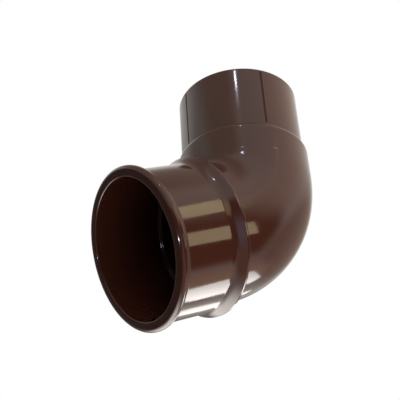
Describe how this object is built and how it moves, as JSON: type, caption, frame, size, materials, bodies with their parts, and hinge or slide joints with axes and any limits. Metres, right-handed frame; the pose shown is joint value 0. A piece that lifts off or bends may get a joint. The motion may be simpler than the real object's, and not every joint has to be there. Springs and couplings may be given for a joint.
{
  "type": "downspout elbow",
  "caption": "Round moulded downspout elbow: a plain ribbed spigot, a smooth bend and a rimmed socket that turn rainwater from one pipe into another.",
  "frame": {"origin": "on the spigot's axis, at the foot of the shoulder where a mating pipe's end comes to rest", "axes": "+Z along the spigot, out of its open end; the socket leaves towards -X and down; XZ is the mirror plane"},
  "size_m": [0.1202, 0.0828, 0.1484],
  "materials": {
    "brown_pvc": "glossy moulded rigid PVC, dark brown"
  },
  "bodies": {
    "root": {"elbow": "brown_pvc"}
  },
  "joints": []
}
